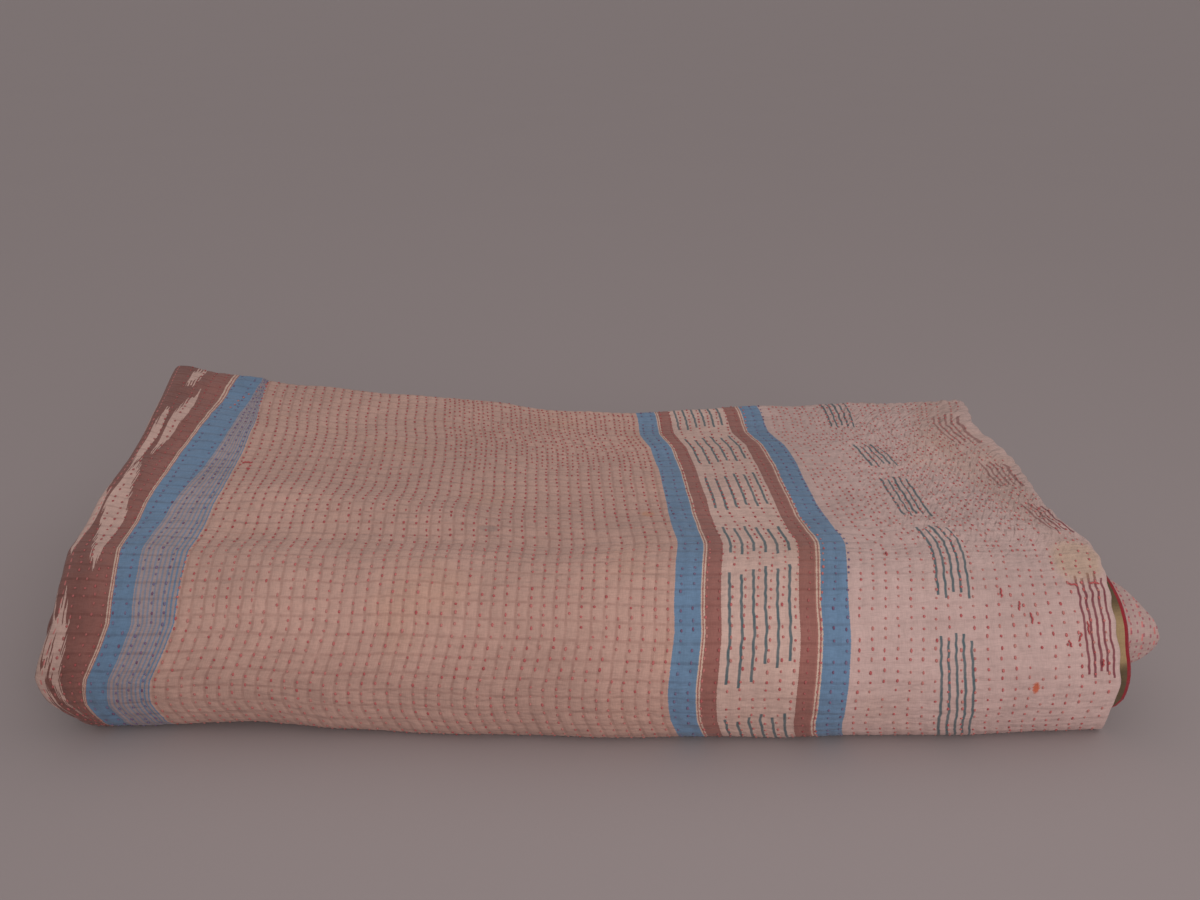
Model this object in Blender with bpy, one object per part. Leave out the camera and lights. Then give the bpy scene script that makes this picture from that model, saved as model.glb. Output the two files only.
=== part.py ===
"""A kantha quilt, folded in half across its width, then in three and in half along its length."""

import math
from collections import namedtuple

import bpy
import numpy as np

# Cloth, in metres
SHEET = 0.004       # cotton layers run together with thread, as one limp sheet
SHEET_GAP = 0.002   # air between the two sheets of a ply
PLY = 2 * SHEET + SHEET_GAP
SIDE_LOFT = 0.0055  # radius of the long fold at the left, at mid-thickness
SIDE_FLAT = 0.0030  # the same where the bundle's weight presses it to the floor
FOLD_EASE = 0.035   # how far from the side fold its loft dies away

# Folded bundle
DEPTH = 0.385
HEIGHT = 0.119
PLIES_HIGH = 6
PITCH = (HEIGHT - PLY) / (PLIES_HIGH - 1)
CREST = 0.085       # where the top starts to roll over the front
BELLY = 0.047       # height at which the front stands out most
INNER_BELLY = 0.073 # the same on the second ply, whose hem slips out at the right
FOOT = 0.020        # where the front has rolled under to the floor

# Steps across each sheet and round the side fold
OUTER_STEPS = 12
FOLD_STEPS = 6
INNER_STEPS = 9

CLOTH_COLOR = (0.50, 0.33, 0.28, 1.0)

# One run of the folded ply: where it ends (y back from the front, z up), the way it bends, and
# where the side fold and the two hems lie at its end. "over" leaves level and ends upright,
# "round" leaves upright and ends level.
Run = namedtuple("Run", "name bend y z steps loft side hem_outer hem_inner")

# Front edge: how far it is set back, and how far its foot is lifted, across the width
Front = namedtuple("Front", "x set_back lift")
FRONT = (
    Front(-0.400, 0.034, 0.000),
    Front(-0.310, 0.029, 0.001),
    Front(-0.255, 0.026, 0.007),
    Front(-0.195, 0.022, 0.001),
    Front(-0.130, 0.017, 0.000),
    Front(0.000, 0.007, 0.000),
    Front(0.170, 0.001, 0.000),
    Front(0.300, 0.001, 0.000),
    Front(0.430, 0.007, 0.000),
)

# How far the side fold and the two hems stray to the right, at distances along the cloth
Stray = namedtuple("Stray", "along side outer inner")
STRAY = (
    Stray(0.000, 0.0030, 0.0000, 0.0000),
    Stray(0.058, 0.0090, 0.0015, 0.0000),
    Stray(0.095, 0.0130, 0.0095, 0.0060),
    Stray(0.140, 0.0125, 0.0105, 0.0060),
    Stray(0.198, 0.0098, 0.0080, 0.0050),
    Stray(0.240, 0.0050, 0.0070, 0.0050),
    Stray(0.264, 0.0035, 0.0068, 0.0040),
    Stray(0.288, 0.0015, 0.0108, 0.0060),
    Stray(0.308, 0.0020, 0.0092, 0.0080),
    Stray(0.333, 0.0085, 0.0045, 0.0115),
    Stray(0.354, 0.0120, 0.0020, 0.0115),
    Stray(0.372, 0.0145, 0.0020, 0.0095),
    Stray(0.388, 0.0110, 0.0032, 0.0065),
    Stray(0.410, 0.0052, 0.0055, 0.0078),
    Stray(0.430, 0.0085, 0.0047, 0.0085),
    Stray(0.437, 0.0120, 0.0025, 0.0060),
    Stray(0.446, 0.0165, 0.0015, -0.0060),
    Stray(0.462, 0.0150, 0.0050, -0.0060),
    Stray(0.520, 0.0000, 0.0000, 0.0000),
    Stray(1.150, 0.0000, 0.0000, 0.0000),
    Stray(1.180, 0.0000, 0.0000, -0.0080),
    Stray(1.194, 0.0000, 0.0000, -0.0135),
    Stray(1.204, 0.0000, 0.0000, -0.0085),
    Stray(1.216, 0.0000, -0.0040, -0.0060),
    Stray(1.223, 0.0000, -0.0040, -0.0055),
    Stray(1.231, 0.0000, 0.0000, 0.0015),
    Stray(1.247, 0.0000, 0.0000, 0.0125),
    Stray(1.260, 0.0000, 0.0000, 0.0190),
    Stray(1.279, 0.0000, 0.0000, 0.0180),
    Stray(1.300, 0.0000, 0.0000, 0.0110),
    Stray(1.330, 0.0000, 0.0000, 0.0000),
)

# Height of the top, across the width, at four depths
TOP_X = (-0.395, -0.320, -0.220, -0.135, 0.015, 0.165, 0.400)
TOP_Y = (0.085, 0.200, 0.300, 0.385)
TOP_Z = (
    (0.117, 0.118, 0.119, 0.119, 0.119, 0.119, 0.118),
    (0.132, 0.126, 0.121, 0.119, 0.116, 0.117, 0.119),
    (0.148, 0.135, 0.125, 0.122, 0.112, 0.116, 0.120),
    (0.153, 0.141, 0.130, 0.125, 0.111, 0.117, 0.121),
)

# Soft ridges (up) and troughs (down) on the top
Crease = namedtuple("Crease", "x0 y0 x1 y1 width height")
CREASES = (
    Crease(-0.260, 0.170, -0.110, 0.135, 0.024, 0.0040),
    Crease(-0.270, 0.105, 0.020, 0.098, 0.018, -0.0030),
    Crease(0.170, 0.150, 0.210, 0.190, 0.018, -0.0030),
    Crease(0.250, 0.120, 0.350, 0.110, 0.020, 0.0030),
)


def smooth_step(value):
    value = np.clip(value, 0.0, 1.0)
    return value * value * (3.0 - 2.0 * value)


def smooth_curve(at, xs, ys):
    """A smooth curve through the points (xs, ys), level beyond its ends."""
    xs, ys = np.asarray(xs, float), np.asarray(ys, float)
    slopes = np.gradient(ys, xs)
    at = np.clip(at, xs[0], xs[-1])
    i = np.clip(np.searchsorted(xs, at) - 1, 0, len(xs) - 2)
    span = xs[i + 1] - xs[i]
    t = (at - xs[i]) / span
    return (
        (1 + 2 * t) * (1 - t) ** 2 * ys[i]
        + t * (1 - t) ** 2 * span * slopes[i]
        + t * t * (3 - 2 * t) * ys[i + 1]
        - t * t * (1 - t) * span * slopes[i + 1]
    )


def fold_runs():
    """The runs of the ply, from its free end at the top of the back to the one inside."""
    top = [HEIGHT - PLY / 2 - n * PITCH for n in range(3)]
    low = [PLY / 2 + n * PITCH for n in range(3)]
    nose = [PLY / 2 + n * PITCH for n in range(3)]
    back = DEPTH - PLY / 2
    tuck = back - 0.009
    turn = PITCH / 2
    loft, flat = SIDE_LOFT, SIDE_FLAT
    return (
        Run("free end", "start", DEPTH, top[0], 0, loft, -0.416, 0.382, 0.376),
        Run("top, back", "flat", 0.310, top[0], 3, loft, -0.415, 0.370, 0.368),
        Run("top, middle", "flat", 0.235, top[0], 3, loft, -0.412, 0.370, 0.366),
        Run("top, forward", "flat", 0.160, top[0], 3, loft, -0.408, 0.367, 0.364),
        Run("crest", "flat", CREST, top[0], 3, loft, -0.402, 0.372, 0.370),
        Run("front, upper", "over", nose[0], BELLY, 6, loft, -0.411, 0.371, 0.379),
        Run("front, lower", "round", FOOT, low[0], 5, flat, -0.394, 0.374, 0.368),
        Run("underneath", "flat", back - turn, low[0], 6, flat, -0.402, 0.372, 0.368),
        Run("first back fold", "over", back, low[0] + turn, 3, loft, -0.404, 0.371, 0.368),
        Run("first back fold, in", "round", back - turn, low[1], 3, loft, -0.402, 0.370, 0.367),
        Run("second ply, low", "flat", 0.055, low[1], 6, loft, -0.396, 0.366, 0.368),
        Run("second front, lower", "over", nose[1], INNER_BELLY, 4, loft, -0.402, 0.402, 0.418),
        Run("second front, upper", "round", 0.085, top[1], 5, loft, -0.398, 0.366, 0.372),
        Run("second ply, high", "flat", tuck - turn, top[1], 6, loft, -0.406, 0.368, 0.372),
        Run("second back fold", "over", tuck, top[1] - turn, 3, loft, -0.407, 0.367, 0.371),
        Run("second back fold, in", "round", tuck - turn, top[2], 3, loft, -0.405, 0.366, 0.370),
        Run("third ply, high", "flat", nose[2] + turn, top[2], 5, loft, -0.396, 0.370, 0.366),
        Run("third front, upper", "over", nose[2], HEIGHT / 2, 3, loft, -0.394, 0.376, 0.370),
        Run("third front, lower", "round", nose[2] + turn, low[2], 3, loft, -0.396, 0.372, 0.366),
        Run("inner end", "flat", back - 0.018, low[2], 5, loft, -0.400, 0.364, 0.360),
    )


def stations(runs):
    """Points along the ply's centre line: y, z, the side fold's loft and the three edges there."""
    rows = [(runs[0].y, runs[0].z, *runs[0][5:])]
    for before, run in zip(runs, runs[1:]):
        start, end = np.array(before[5:]), np.array(run[5:])
        for step in range(1, run.steps + 1):
            t = step / run.steps
            along = across = t
            if run.bend == "over":
                along, across = math.sin(t * math.pi / 2), 1 - math.cos(t * math.pi / 2)
            elif run.bend == "round":
                along, across = 1 - math.cos(t * math.pi / 2), math.sin(t * math.pi / 2)
            y = before.y + (run.y - before.y) * along
            z = before.z + (run.z - before.z) * across
            rows.append((y, z, *(start + (end - start) * smooth_step(t))))
    rows = np.array(rows)
    steps = np.hypot(*np.diff(rows[:, :2], axis=0).T)
    along = np.concatenate([[0.0], np.cumsum(steps)])
    for column, key in enumerate(("side", "outer", "inner"), 3):
        strays = [getattr(row, key) for row in STRAY]
        rows[:, column] += np.interp(along, [row.along for row in STRAY], strays)
    return rows


def hairpin(loft, side, hem_outer, hem_inner):
    """Mid-line of the two sheets across one station, from the outer hem round to the inner.

    Gives x, and the distance e from the ply's centre line.
    """
    centre = side + loft + SHEET / 2
    flat = (SHEET + SHEET_GAP) / 2

    def spread(x):
        return flat + (loft - flat) * (1 - smooth_step((x - centre) / FOLD_EASE))

    outer_x = np.linspace(hem_outer, centre, OUTER_STEPS + 1)
    inner_x = np.linspace(centre, hem_inner, INNER_STEPS + 1)
    turn = np.linspace(0, math.pi, FOLD_STEPS + 1)[1:-1]
    x = np.concatenate([outer_x, centre - loft * np.sin(turn), inner_x])
    e = np.concatenate([spread(outer_x), loft * np.cos(turn), -spread(inner_x)])
    return x, e


def settle(x, y, z):
    """Moves points of the square-cut bundle to where the soft, uneven one has them."""
    set_back = smooth_curve(x, [row.x for row in FRONT], [row.set_back for row in FRONT])
    lift = smooth_curve(x, [row.x for row in FRONT], [row.lift for row in FRONT])
    rows = np.array([smooth_curve(x, TOP_X, row) for row in TOP_Z])
    depth = np.clip(y, TOP_Y[0], TOP_Y[-1])
    top = np.zeros_like(x)
    for n in range(len(TOP_Y) - 1):
        here = (depth >= TOP_Y[n]) & (depth <= TOP_Y[n + 1])
        t = smooth_step((depth - TOP_Y[n]) / (TOP_Y[n + 1] - TOP_Y[n]))
        top = np.where(here, rows[n] + (rows[n + 1] - rows[n]) * t, top)
    relief = np.zeros_like(x)
    for crease in CREASES:
        run = np.array([crease.x1 - crease.x0, crease.y1 - crease.y0])
        t = np.clip(((x - crease.x0) * run[0] + (y - crease.y0) * run[1]) / (run @ run), 0, 1)
        off = np.hypot(x - crease.x0 - t * run[0], y - crease.y0 - t * run[1])
        relief += crease.height * np.exp(-((off / crease.width) ** 2))
    upper = smooth_step((z - 0.05) / (HEIGHT - 0.05))
    foot = lift * smooth_step(1 - y / 0.055) * (1 - smooth_step(z / HEIGHT))
    base = SHEET / 2
    height = base + (z - base) * (top - base) / (HEIGHT - base)
    return x, y + set_back, height + relief * upper + foot


def sheet_points():
    """Points of the sheet's mid-surface, one row for each station along the ply."""
    rows = stations(fold_runs())
    tangent = np.gradient(rows[:, :2], axis=0)
    tangent /= np.linalg.norm(tangent, axis=1)[:, None]
    grid = []
    for (y, z, *edges), (ty, tz) in zip(rows, tangent):
        x, e = hairpin(*edges)
        grid.append(np.column_stack(settle(x, y + e * tz, z - e * ty)))
    return np.array(grid)


def add_quilt():
    grid = sheet_points()
    long, wide, _ = grid.shape
    faces = [
        (n * wide + k, n * wide + k + 1, (n + 1) * wide + k + 1, (n + 1) * wide + k)
        for n in range(long - 1)
        for k in range(wide - 1)
    ]
    points = grid.reshape(-1, 3)
    low, high = points.min(axis=0) - SHEET / 2, points.max(axis=0) + SHEET / 2
    points = points - [(low[0] + high[0]) / 2, (low[1] + high[1]) / 2, low[2]]
    mesh = bpy.data.meshes.new("quilt")
    mesh.from_pydata(points.tolist(), [], faces)
    mesh.update()
    quilt = bpy.data.objects.new("quilt", mesh)
    bpy.context.collection.objects.link(quilt)

    thicken = quilt.modifiers.new("cloth thickness", "SOLIDIFY")
    thicken.thickness = SHEET
    thicken.offset = 0.0
    thicken.use_even_offset = True
    thicken.use_quality_normals = True

    cloth = bpy.data.materials.new("kantha_cotton")
    cloth.use_nodes = True
    shader = cloth.node_tree.nodes["Principled BSDF"]
    shader.inputs["Base Color"].default_value = CLOTH_COLOR
    shader.inputs["Roughness"].default_value = 0.9
    shader.inputs["Metallic"].default_value = 0.0
    quilt.data.materials.append(cloth)
    return quilt


def main():
    for old in list(bpy.data.objects):
        bpy.data.objects.remove(old, do_unlink=True)
    add_quilt()


if __name__ == "__main__":
    main()
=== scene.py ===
"""A folded kantha quilt: its cloth, its running stitches and its loose thread ends."""

import math
from collections import namedtuple
from functools import reduce

import bmesh
import bpy
import numpy as np
from mathutils import Euler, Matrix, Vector


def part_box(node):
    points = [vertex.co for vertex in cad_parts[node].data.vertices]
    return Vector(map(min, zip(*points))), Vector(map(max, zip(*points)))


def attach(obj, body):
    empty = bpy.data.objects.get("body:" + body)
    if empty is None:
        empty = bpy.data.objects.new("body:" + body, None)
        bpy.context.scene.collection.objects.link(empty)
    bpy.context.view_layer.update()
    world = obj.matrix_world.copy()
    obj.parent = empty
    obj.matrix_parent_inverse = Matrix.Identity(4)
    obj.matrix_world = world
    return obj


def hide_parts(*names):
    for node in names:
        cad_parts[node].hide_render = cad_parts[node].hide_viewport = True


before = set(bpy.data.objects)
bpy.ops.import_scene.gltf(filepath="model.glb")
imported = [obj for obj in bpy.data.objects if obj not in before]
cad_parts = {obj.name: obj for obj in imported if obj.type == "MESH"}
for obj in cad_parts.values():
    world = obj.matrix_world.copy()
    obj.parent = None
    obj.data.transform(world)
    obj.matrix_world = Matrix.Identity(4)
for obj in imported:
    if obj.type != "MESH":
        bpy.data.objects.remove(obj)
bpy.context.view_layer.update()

bl_info = {
    "name": "Folded kantha quilt",
    "version": (1, 0, 0),
    "blender": (4, 5, 0),
    "location": "View3D > Sidebar > Quilt",
    "description": "A quilt of cotton, folded in half and then in six, with its stitches",
    "category": "Object",
}

CLOTH_MAP = "cloth"       # UV map in metres: across from the side fold, and along from the free end

# Folded bundle, in metres
SHEET_GAP = 0.002
SIDE_LOFT = 0.0055
SIDE_FLAT = 0.0030
FOLD_EASE = 0.035
DEPTH = 0.385
HEIGHT = 0.119
PLIES_HIGH = 6
CREST = 0.085
BELLY = 0.047
INNER_BELLY = 0.073
FOOT = 0.020

# Mesh lines across: outer sheet, side fold and inner sheet
OUTER_COLUMNS = 336
ROW_COLUMNS = 4      # mesh lines from one stitch row to the next
COARSE_COLUMNS = 7
TURN_COLUMNS = 8
INNER_COLUMNS = 40
FINE_ROWS = 140      # mesh lines along the part that shows, top and front
HEM_ROUND = 0.0015
EDGING = 0.0023      # width of the red hem on the lining side
EDGED_TO = 0.50      # how far along the cloth the red hem shows
INNER_WIDTH = 0.78   # of the inner sheet, from the side fold to its hem

# Cotton, in metres
WEAVE_HEIGHT = 0.00004  # of the yarns
DRAW_HEIGHT = 0.0015    # of the cloth between stitches
STREAKED_TO = 0.5       # how far along the cloth the lining's streaks run

# How the sewing runs, in metres along the cloth
DEEP_RED_TO = 0.29   # where the deeper red thread gives way to the lighter one
SEWN_TO = 0.462      # where the thread is no longer modelled
DRAWN_TO = 0.455     # where the rows stop drawing the cloth in, easing off over DRAWN_EASE
DRAWN_EASE = 0.03
ASKEW_TO = 0.47      # where the woven lines start to lie even again, over ASKEW_EASE
ASKEW_EASE = 0.10
RUBBED_AT = 0.275    # the crest, where more of the stitches have worn away
RUBBED_WIDE = 0.030
RUBBED_MORE = 0.22   # as a share of the stitches

# Thread: how far a stitch's middle stands off the cloth, in thread widths, and its colours over
# the blue bands, over the brown bands and in the deeper rows, the last two against the plain red
LIFT = 0.16
PLUM = (0.235, 0.150, 0.260)
DARKER = (0.78, 0.80, 0.80)
DEEPER = (0.84, 0.64, 0.68)

# Stage, in metres and degrees
FLOOR_REACH = 40.0
LAMPS_AIM = (0.10, 0.0, 0.05)
SOFTBOX_AT = (0.50, -1.75, 0.74)
SOFTBOX_SIZE = 1.2
SOFTBOX_SPREAD = 110
OVERHEAD_AT = (0.3, 0.0, 1.5)
OVERHEAD_ANGLE = 100
CAMERA_AT = (-0.019, -0.841, 0.5224)
CAMERA_DOWN = 23.84
CAMERA_RIGHT = 1.9

# One run of the folded ply: the way it bends, where it ends (y back from the front, z up), the
# mesh steps along it, and where the side fold and the two hems lie at its end
Run = namedtuple("Run", "name bend y z steps loft side hem_outer hem_inner")

# How far the front is set back and lifted, across the width
Front = namedtuple("Front", "x set_back lift")
FRONT = (
    Front(-0.400, 0.034, 0.000),
    Front(-0.310, 0.029, 0.001),
    Front(-0.255, 0.026, 0.007),
    Front(-0.195, 0.022, 0.001),
    Front(-0.130, 0.017, 0.000),
    Front(0.000, 0.007, 0.000),
    Front(0.170, 0.001, 0.000),
    Front(0.300, 0.001, 0.000),
    Front(0.430, 0.007, 0.000),
)

# How far the side fold and the two hems stray to the right, at distances along the cloth
Stray = namedtuple("Stray", "along side outer inner")
STRAY = (
    Stray(0.000, 0.0030, 0.0000, 0.0000),
    Stray(0.058, 0.0090, 0.0015, 0.0000),
    Stray(0.095, 0.0130, 0.0095, 0.0060),
    Stray(0.140, 0.0125, 0.0105, 0.0060),
    Stray(0.198, 0.0098, 0.0080, 0.0050),
    Stray(0.240, 0.0050, 0.0070, 0.0050),
    Stray(0.264, 0.0035, 0.0068, 0.0040),
    Stray(0.288, 0.0015, 0.0108, 0.0060),
    Stray(0.308, 0.0020, 0.0092, 0.0080),
    Stray(0.333, 0.0085, 0.0045, 0.0115),
    Stray(0.354, 0.0120, 0.0020, 0.0115),
    Stray(0.372, 0.0145, 0.0020, 0.0095),
    Stray(0.388, 0.0110, 0.0032, 0.0065),
    Stray(0.410, 0.0052, 0.0055, 0.0078),
    Stray(0.430, 0.0085, 0.0047, 0.0085),
    Stray(0.437, 0.0120, 0.0025, 0.0060),
    Stray(0.446, 0.0165, 0.0015, -0.0060),
    Stray(0.462, 0.0150, 0.0050, -0.0060),
    Stray(0.520, 0.0000, 0.0000, 0.0000),
    Stray(1.150, 0.0000, 0.0000, 0.0000),
    Stray(1.180, 0.0000, 0.0000, -0.0080),
    Stray(1.194, 0.0000, 0.0000, -0.0135),
    Stray(1.204, 0.0000, 0.0000, -0.0085),
    Stray(1.216, 0.0000, -0.0040, -0.0060),
    Stray(1.223, 0.0000, -0.0040, -0.0055),
    Stray(1.231, 0.0000, 0.0000, 0.0015),
    Stray(1.247, 0.0000, 0.0000, 0.0125),
    Stray(1.260, 0.0000, 0.0000, 0.0190),
    Stray(1.279, 0.0000, 0.0000, 0.0180),
    Stray(1.300, 0.0000, 0.0000, 0.0110),
    Stray(1.330, 0.0000, 0.0000, 0.0000),
)

# Height of the top, across the width, at four depths
TOP_X = (-0.395, -0.320, -0.220, -0.135, 0.015, 0.165, 0.400)
TOP_Y = (0.085, 0.200, 0.300, 0.385)
TOP_Z = (
    (0.117, 0.118, 0.119, 0.119, 0.119, 0.119, 0.118),
    (0.132, 0.126, 0.121, 0.119, 0.116, 0.117, 0.119),
    (0.148, 0.135, 0.125, 0.122, 0.112, 0.116, 0.120),
    (0.153, 0.141, 0.130, 0.125, 0.111, 0.117, 0.121),
)

# Soft ridges (up) and troughs (down)
Crease = namedtuple("Crease", "x0 y0 x1 y1 width height")
CREASES = (
    Crease(-0.260, 0.170, -0.110, 0.135, 0.024, 0.0040),
    Crease(-0.270, 0.105, 0.020, 0.098, 0.018, -0.0030),
    Crease(0.170, 0.150, 0.210, 0.190, 0.018, -0.0030),
    Crease(0.250, 0.120, 0.350, 0.110, 0.020, 0.0030),
)

# Where woven lines lie over the bundle, as shares of its width from the side fold to the hem, at
# distances along the cloth from its free end. The cloth was laid a little askew, so they wander,
# and the fine stripes run in under a tuck at the back.
LAID_ALONG = (0.0, 0.08, 0.16, 0.25, 0.33, 0.40, 0.45)
Laid = namedtuple("Laid", "across shares")
LAID = (
    Laid(0.0432, (0.075, 0.060, 0.045, 0.045, 0.045, 0.045, 0.020)),
    Laid(0.0580, (0.105, 0.090, 0.080, 0.070, 0.065, 0.065, 0.040)),
    Laid(0.0896, (0.110, 0.110, 0.110, 0.115, 0.110, 0.105, 0.080)),
    Laid(0.4555, (0.580, 0.585, 0.590, 0.595, 0.585, 0.580, 0.580)),
    Laid(0.5800, (0.735, 0.745, 0.750, 0.760, 0.750, 0.745, 0.740)),
    Laid(0.6560, (0.830, 0.840, 0.850, 0.855, 0.850, 0.845, 0.850)),
    Laid(0.7488, (0.960, 0.950, 0.960, 0.975, 0.970, 0.970, 0.970)),
    Laid(0.7664, (0.990, 0.980, 0.985, 0.995, 0.995, 0.995, 0.995)),
)
OUTER_WIDTH = 0.772

# Stitched dashes: first dash's place across, their spacing, number and width, and the lengths
# along the cloth that they run over
Dashes = namedtuple("Dashes", "first pitch count width color spans")
DASHES = (
    Dashes(0.4948, 0.0086, 3, 0.001275, "teal",
           ((0.001, 0.053), (0.078, 0.133), (0.167, 0.228), (0.262, 0.306), (0.328, 0.409),
            (0.439, 0.500))),
    Dashes(0.5206, 0.0086, 3, 0.001275, "teal",
           ((0.000, 0.049), (0.073, 0.128), (0.159, 0.222), (0.263, 0.306), (0.323, 0.395),
            (0.434, 0.495))),
    Dashes(0.6450, 0.0056, 5, 0.001105, "teal",
           ((0.000, 0.057), (0.102, 0.149), (0.174, 0.246), (0.270, 0.349), (0.378, 0.470))),
    Dashes(0.7488, 0.0044, 5, 0.00102, "maroon",
           ((0.043, 0.104), (0.153, 0.198), (0.233, 0.280), (0.337, 0.407))),
)

# Pale flames on the brown band that goes round the side fold: place across, lengths along,
# half width and lean
Flame = namedtuple("Flame", "across start end half lean")
FLAMES = (
    Flame(0.0150, -0.010, 0.046, 0.0032, -0.007),
    Flame(0.0185, 0.044, 0.165, 0.0050, -0.008),
    Flame(0.0052, 0.096, 0.205, 0.0042, -0.004),
    Flame(-0.0060, 0.040, 0.150, 0.0032, 0.000),
    Flame(0.0155, 0.186, 0.324, 0.0112, 0.014),
    Flame(-0.0025, 0.205, 0.300, 0.0040, 0.002),
    Flame(0.0068, 0.344, 0.438, 0.0056, 0.025),
    Flame(-0.0035, 0.352, 0.440, 0.0042, 0.018),
    Flame(-0.0135, 0.335, 0.440, 0.0036, 0.012),
    Flame(-0.0230, 0.040, 0.180, 0.0060, 0.003),
    Flame(-0.0300, 0.230, 0.350, 0.0050, -0.003),
    Flame(-0.0420, 0.100, 0.240, 0.0060, 0.002),
    Flame(-0.0440, 0.330, 0.440, 0.0045, 0.002),
)

# Spots and stains on the cloth: place, half width and half length, and how strong they are
Stain = namedtuple("Stain", "across along wide long color depth")
STAINS = (
    Stain(0.439, 0.234, 0.0040, 0.0045, (0.62, 0.26, 0.13), 0.50),
    Stain(0.312, 0.268, 0.0062, 0.0032, (0.22, 0.17, 0.16), 0.40),
    Stain(0.711, 0.411, 0.0019, 0.0032, (0.60, 0.13, 0.06), 0.95),
    Stain(0.754, 0.316, 0.0150, 0.0180, (0.60, 0.40, 0.25), 0.50),
    Stain(0.748, 0.120, 0.0190, 0.1300, (0.50, 0.32, 0.26), 0.45),
)

# Loose ends of thread: place on the cloth, length, and the way they lie, in radians
ThreadEnd = namedtuple("ThreadEnd", "across along length way")
THREAD_ENDS = (
    ThreadEnd(0.7460, 0.341, 0.0070, 0.3), ThreadEnd(0.7614, 0.341, 0.0065, 0.1),
    ThreadEnd(0.7511, 0.372, 0.0085, 1.6), ThreadEnd(0.7447, 0.378, 0.0060, 2.0),
    ThreadEnd(0.7364, 0.382, 0.0045, 1.2), ThreadEnd(0.7587, 0.396, 0.0050, 1.6),
    ThreadEnd(0.6916, 0.345, 0.0070, 1.6), ThreadEnd(0.7037, 0.355, 0.0065, 1.7),
    ThreadEnd(0.7112, 0.364, 0.0075, 1.5), ThreadEnd(0.0980, 0.164, 0.0080, -0.2),
    ThreadEnd(0.1014, 0.175, 0.0025, 0.3), ThreadEnd(0.6100, 0.305, 0.0050, 1.4),
)
END_POINTS = 7

# What the printed cotton's parts are worked out from
PrintPlace = namedtuple("PrintPlace", "tree cloth across along ragged edge strayed worn")


def length(name, description, default, low=0.001):
    return bpy.props.FloatProperty(
        name=name, description=description, default=default, min=low, unit="LENGTH")


class QuiltSizes(bpy.types.PropertyGroup):
    sheet: length("Sheet thickness", "Cotton layers run together as one limp sheet", 0.004)
    pucker: length("Pucker depth", "How deep each stitch row draws the cloth in", 0.0007, 0.0)
    stitch_pitch: length("Stitch pitch", "From one stitch to the next along a row", 0.0076, 0.002)
    stitch_length: length("Stitch length", "Thread that shows in one stitch", 0.0027)
    thread_width: length("Thread width", "Width of the sewing thread as it lies", 0.0019, 0.0002)
    warp_pitch: length("Check width", "Between the woven lines that run along the cloth", 0.0092)
    weft_pitch: length("Check length", "Between the woven lines that run across the cloth", 0.0127)


def cloth_color(name, description, value):
    return bpy.props.FloatVectorProperty(
        name=name, description=description, default=value, subtype="COLOR", size=3,
        min=0.0, max=1.0)


class QuiltColors(bpy.types.PropertyGroup):
    field: cloth_color("Checked field", "Faded rose-beige cotton", (0.590, 0.355, 0.292))
    plain: cloth_color("Plain field", "Pale pink cotton by the hem", (0.625, 0.425, 0.390))
    panel: cloth_color("Dashed panel", "Cream cotton between brown bands", (0.655, 0.435, 0.375))
    blue: cloth_color("Blue bands", "Woven border", (0.158, 0.255, 0.395))
    brown: cloth_color("Brown bands", "Woven border", (0.345, 0.140, 0.118))
    cream: cloth_color("Cream lines", "Fine lines beside the bands", (0.660, 0.470, 0.380))
    teal: cloth_color("Teal dashes", "Dark worked dashes", (0.100, 0.140, 0.155))
    maroon: cloth_color("Maroon dashes", "Dashes by the hem", (0.240, 0.060, 0.075))
    lining: cloth_color("Lining", "Olive cotton inside", (0.310, 0.205, 0.105))
    edging: cloth_color("Hem edge", "Red cotton", (0.290, 0.014, 0.024))
    thread: cloth_color("Thread", "Red sewing cotton", (0.630, 0.170, 0.165))


def amount(name, description, default, low=0.0):
    return bpy.props.FloatProperty(name=name, description=description, default=default, min=low)


class StageSettings(bpy.types.PropertyGroup):
    floor: cloth_color("Floor", "Plain pale paper", (0.405, 0.340, 0.340))
    lens: amount("Lens", "Focal length in millimetres", 32.7, 10.0)
    key: amount("Key light", "Front softbox power in watts", 4.8)
    top: amount("Top light", "Strength of the overhead softbox", 0.68)
    fill: amount("Fill", "Strength of the light from all round", 0.27)


# ---- Shape of the folded cloth ----


def smooth_step(value):
    value = np.clip(value, 0.0, 1.0)
    return value * value * (3.0 - 2.0 * value)


def smooth_curve(at, xs, ys):
    """A smooth curve through the points (xs, ys), level beyond its ends."""
    xs, ys = np.asarray(xs, float), np.asarray(ys, float)
    slopes = np.gradient(ys, xs)
    at = np.clip(at, xs[0], xs[-1])
    i = np.clip(np.searchsorted(xs, at) - 1, 0, len(xs) - 2)
    span = xs[i + 1] - xs[i]
    t = (at - xs[i]) / span
    return (
        (1 + 2 * t) * (1 - t) ** 2 * ys[i]
        + t * (1 - t) ** 2 * span * slopes[i]
        + t * t * (3 - 2 * t) * ys[i + 1]
        - t * t * (1 - t) * span * slopes[i + 1]
    )


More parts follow.
